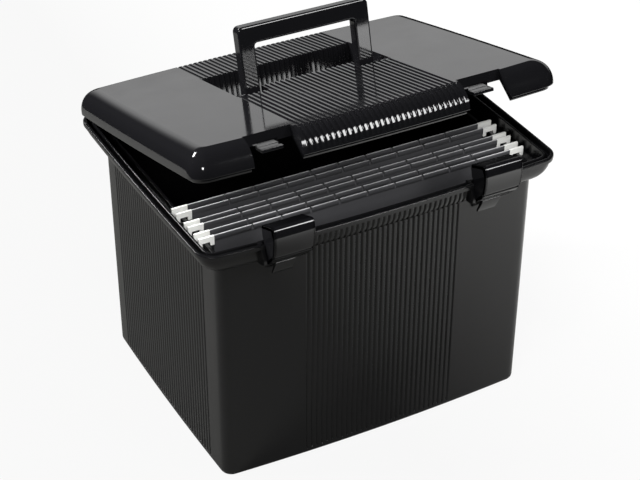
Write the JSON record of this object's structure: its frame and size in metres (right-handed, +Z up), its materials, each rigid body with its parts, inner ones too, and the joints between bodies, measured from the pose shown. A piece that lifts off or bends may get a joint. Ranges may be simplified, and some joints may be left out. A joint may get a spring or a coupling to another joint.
{
  "type": "portable hanging file box",
  "caption": "Rigid plastic box for hanging files: ribbed tub with flared rim, hinged lid with fold-down handle, rocker latches, and hanging folders on inner rails.",
  "frame": {"origin": "middle of the flat underside of the tub", "axes": "+Z up, -Y out of the front with the latches, +X to the right seen from the front"},
  "size_m": [0.3556, 0.3063, 0.3656],
  "materials": {
    "tub_plastic": "black moulded polypropylene with a soft satin sheen",
    "lid_plastic": "black moulded plastic, polished to a gloss",
    "handle_plastic": "black moulded plastic with a semi-gloss surface",
    "latch_plastic": "black moulded plastic, polished to a gloss",
    "pin_steel": "drawn steel wire, plain",
    "folder_paper": "dark grey heavy paper with a fine tooth",
    "rod_steel": "flat cold-rolled steel strip",
    "hook_plastic": "white moulded plastic"
  },
  "bodies": {
    "tub": {"tub": "tub_plastic", "hinge_pin_left": "pin_steel", "hinge_pin_right": "pin_steel"},
    "lid": {"lid": "lid_plastic"},
    "handle": {"handle": "handle_plastic"},
    "latch_left": {"latch_left": "latch_plastic"},
    "latch_right": {"latch_right": "latch_plastic"},
    "folder_1": {"folder_1_sleeve": "folder_paper", "folder_1_back_rod": "rod_steel", "folder_1_front_rod": "rod_steel", "folder_1_back_hooks": "hook_plastic", "folder_1_front_hooks": "hook_plastic"},
    "folder_2": {"folder_2_sleeve": "folder_paper", "folder_2_back_rod": "rod_steel", "folder_2_front_rod": "rod_steel", "folder_2_back_hooks": "hook_plastic", "folder_2_front_hooks": "hook_plastic"},
    "folder_3": {"folder_3_sleeve": "folder_paper", "folder_3_back_rod": "rod_steel", "folder_3_front_rod": "rod_steel", "folder_3_back_hooks": "hook_plastic", "folder_3_front_hooks": "hook_plastic"}
  },
  "joints": [
    {"name": "lid_hinge", "type": "hinge", "parent": "tub", "child": "lid", "pos_m": [0, 0.146, 0.249], "axis": [-1, 0, 0], "range_deg": [-14.2, 85.8]},
    {"name": "handle_fold", "type": "hinge", "parent": "lid", "child": "handle", "pos_m": [0, 0.01198, 0.30148], "axis": [1, 0, 0], "range_deg": [-90, 0]},
    {"name": "latch_left_rock", "type": "hinge", "parent": "tub", "child": "latch_left", "pos_m": [-0.102, -0.1385, 0.238], "axis": [1, 0, 0], "range_deg": [-12, 8]},
    {"name": "latch_right_rock", "type": "hinge", "parent": "tub", "child": "latch_right", "pos_m": [0.102, -0.1385, 0.238], "axis": [1, 0, 0], "range_deg": [-12, 8]},
    {"name": "folder_1_slide", "type": "slide", "parent": "tub", "child": "folder_1", "axis": [0, 1, 0], "range_m": [-0.007, 0.15]},
    {"name": "folder_2_slide", "type": "slide", "parent": "tub", "child": "folder_2", "axis": [0, 1, 0], "range_m": [-0.006, 0.0065]},
    {"name": "folder_3_slide", "type": "slide", "parent": "tub", "child": "folder_3", "axis": [0, 1, 0], "range_m": [-0.014, 0.003]}
  ]
}
